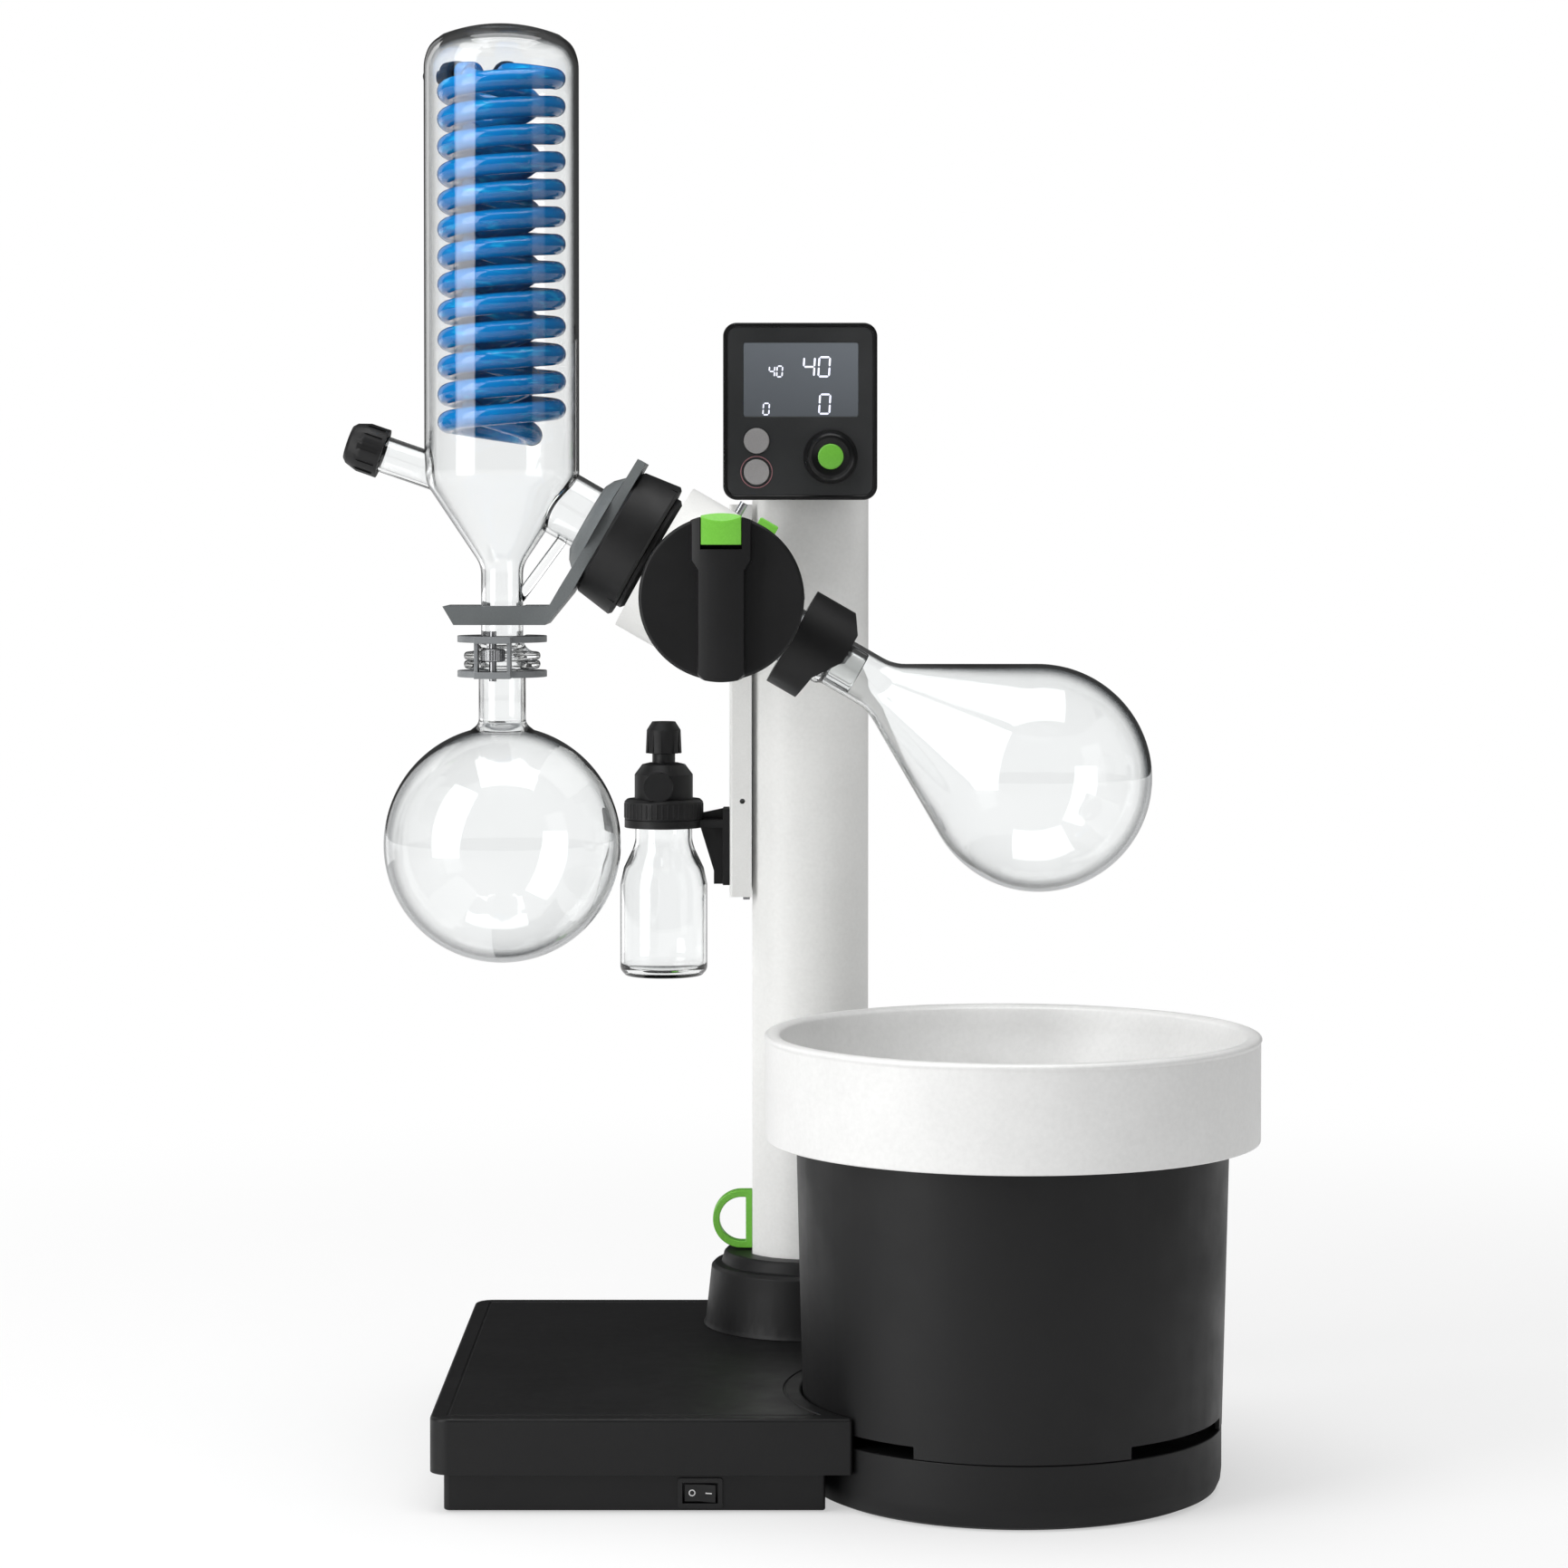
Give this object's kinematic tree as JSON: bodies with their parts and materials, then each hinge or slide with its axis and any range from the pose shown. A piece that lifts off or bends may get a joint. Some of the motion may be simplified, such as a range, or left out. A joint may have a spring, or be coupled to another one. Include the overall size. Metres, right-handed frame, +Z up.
{
  "type": "rotary evaporator",
  "caption": "Benchtop rotary evaporator: vertical coil condenser, tilted drive head on a column with a lift, evaporating and receiving flasks, and a heating bath.",
  "frame": {"origin": "on the bench under the middle of the heating bath, at the centre of its flat foot", "axes": "+X to the right as the operator faces it, +Y away from the operator, +Z up"},
  "size_m": [0.5057, 0.3987, 0.8039],
  "materials": {
    "white_plastic": "moulded, light satin",
    "white_metal": "powder coated extrusion",
    "black_plastic": "moulded, fine texture",
    "grey_plastic": "moulded, satin",
    "green_plastic": "moulded, coloured through",
    "rubber": "moulded rubber",
    "fluoropolymer": "machined lip seal",
    "steel": "turned and ground",
    "aluminium": "turned",
    "circuit_board": "printed board with parts",
    "coated_pot": "light coated sheet metal",
    "clear_glass": "blown borosilicate",
    "blue_glass": "tube filled with blue coolant"
  },
  "bodies": {
    "base": {"column_tube": "white_metal", "column_cap": "white_metal", "base_cover": "black_plastic", "column_collar": "black_plastic", "panel_face": "black_plastic", "base_plinth": "black_plastic", "switch_bezel": "black_plastic", "panel_housing": "black_plastic", "bath_dock": "black_plastic", "power_inlet": "black_plastic", "hose_loop": "green_plastic", "base_feet": "rubber", "chassis_plate": "steel", "guide_shoes": "steel", "panel_bracket": "steel", "power_board": "circuit_board", "control_board": "circuit_board", "display_window": "clear_glass"},
    "carriage": {"carriage_cover": "white_plastic", "carriage_rail": "steel", "drive_arm": "white_plastic", "head_casing": "white_plastic", "bearings": "steel", "motor": "steel", "drive_belt": "rubber", "grip_hub": "black_plastic", "casing_pin": "steel", "union_collar": "black_plastic", "duct_seal": "fluoropolymer", "condenser_jacket": "clear_glass", "outer_coil": "blue_glass", "inner_coil": "blue_glass", "hose_connectors": "black_plastic", "condenser_bracket": "grey_plastic", "joint_clamp": "grey_plastic", "receiving_flask": "clear_glass", "safety_bottle": "clear_glass", "bottle_cap": "black_plastic", "bottle_bracket": "black_plastic"},
    "spinner": {"spindle": "steel", "spindle_pulley": "aluminium", "vapour_duct": "clear_glass", "flask_clip": "black_plastic", "evaporating_flask": "clear_glass"},
    "rotor": {"motor_pulley": "aluminium"},
    "nut": {"union_nut": "black_plastic"},
    "port_cap": {"port_cap": "black_plastic"},
    "clamp_screw": {"clamp_screw": "steel"},
    "vent": {"vent_knob": "black_plastic"},
    "trigger": {"lift_release": "green_plastic"},
    "lock": {"spindle_lock": "green_plastic"},
    "set_button": {"set_button": "grey_plastic"},
    "stop_button": {"stop_button": "grey_plastic"},
    "encoder": {"encoder_shaft": "steel"},
    "knob": {"knob": "black_plastic", "knob_cap": "green_plastic"},
    "rocker": {"power_rocker": "black_plastic"},
    "bath": {"bath_shell": "black_plastic", "bath_vessel": "coated_pot", "ring_heater": "steel"}
  },
  "joints": [
    {"name": "lift_slide", "type": "slide", "parent": "base", "child": "carriage", "axis": [0, 0, 1], "range_m": [-0.15, 0]},
    {"name": "flask_spin", "type": "hinge", "parent": "carriage", "child": "spinner", "pos_m": [-0.1596, 0, 0.4902], "axis": [0.866, 0, -0.5], "continuous": true},
    {"name": "motor_spin", "type": "hinge", "parent": "carriage", "child": "rotor", "pos_m": [-0.1596, 0.078, 0.4902], "axis": [0.866, 0, -0.5], "continuous": true},
    {"name": "nut_turn", "type": "hinge", "parent": "carriage", "child": "nut", "pos_m": [-0.1596, 0, 0.4902], "axis": [0.866, 0, -0.5], "range_deg": [0, 180]},
    {"name": "port_cap_turn", "type": "hinge", "parent": "carriage", "child": "port_cap", "pos_m": [-0.2812, 0, 0.5456], "axis": [-0.9444, 0, 0.3289], "range_deg": [0, 360]},
    {"name": "clamp_turn", "type": "hinge", "parent": "carriage", "child": "clamp_screw", "pos_m": [-0.2842, -0.0304, 0.455], "axis": [0, 0, 1], "range_deg": [-90, 180]},
    {"name": "vent_turn", "type": "hinge", "parent": "carriage", "child": "vent", "pos_m": [-0.1976, 0.175, 0.39], "axis": [0, 0, 1], "range_deg": [0, 300]},
    {"name": "lift_release", "type": "slide", "parent": "carriage", "child": "trigger", "axis": [0, 0, -1], "range_m": [0, 0.0022], "stiffness_N_per_m": 800, "springref_m": -0.002},
    {"name": "spindle_lock", "type": "slide", "parent": "carriage", "child": "lock", "axis": [-0.5, 0, -0.866], "range_m": [0, 0.002], "stiffness_N_per_m": 400, "springref_m": -0.001},
    {"name": "set_push", "type": "slide", "parent": "base", "child": "set_button", "axis": [0, 1, 0], "range_m": [0, 0.0008], "stiffness_N_per_m": 800, "springref_m": -0.0005},
    {"name": "stop_push", "type": "slide", "parent": "base", "child": "stop_button", "axis": [0, 1, 0], "range_m": [0, 0.0008], "stiffness_N_per_m": 800, "springref_m": -0.0005},
    {"name": "knob_push", "type": "slide", "parent": "base", "child": "encoder", "axis": [0, 1, 0], "range_m": [0, 0.0008], "stiffness_N_per_m": 800, "springref_m": -0.0005},
    {"name": "knob_turn", "type": "hinge", "parent": "encoder", "child": "knob", "pos_m": [-0.0991, 0.12, 0.5689], "axis": [0, -1, 0], "continuous": true},
    {"name": "power_switch", "type": "hinge", "parent": "base", "child": "rocker", "pos_m": [-0.171, -0.0686, 0.0106], "axis": [0, 0, 1], "range_deg": [0, 14]},
    {"name": "bath_lift", "type": "slide", "parent": "base", "child": "bath", "axis": [0, 0, 1], "range_m": [0, 0.025]}
  ],
  "couplings": [
    {"joint": "motor_spin", "follows": "flask_spin", "ratio": 2.6}
  ]
}
